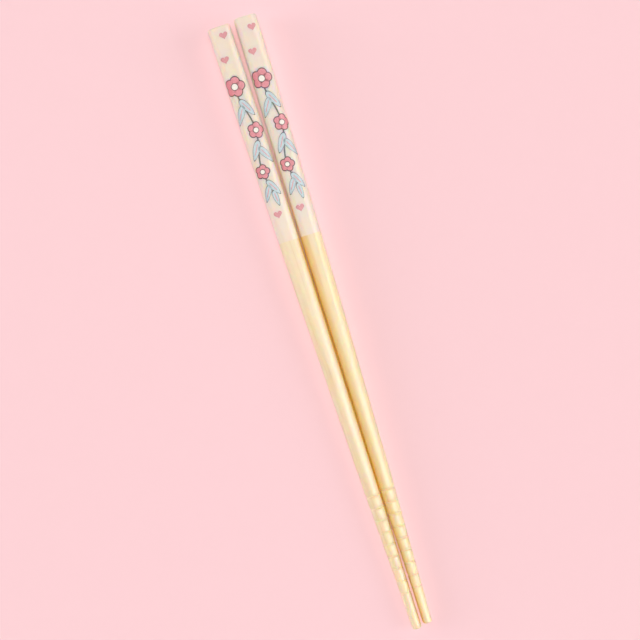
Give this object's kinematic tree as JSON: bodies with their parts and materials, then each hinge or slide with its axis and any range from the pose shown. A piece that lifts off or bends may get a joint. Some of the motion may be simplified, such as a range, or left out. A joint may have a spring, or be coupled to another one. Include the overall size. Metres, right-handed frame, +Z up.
{
  "type": "pair of chopsticks",
  "caption": "Bamboo chopsticks lying side by side: printed square handles taper into round tips with fine grip rings.",
  "frame": {"origin": "middle of the pair's outline on the table that it lies on", "axes": "+Z up from the table, +Y towards the handle ends, +X to the right, from the left stick to the right one"},
  "size_m": [0.017, 0.2108, 0.008],
  "materials": {
    "bamboo": "clear satin lacquer over smooth bamboo, printed cream on the handles"
  },
  "bodies": {
    "root": {"left_chopstick": "bamboo", "right_chopstick": "bamboo"}
  },
  "joints": []
}
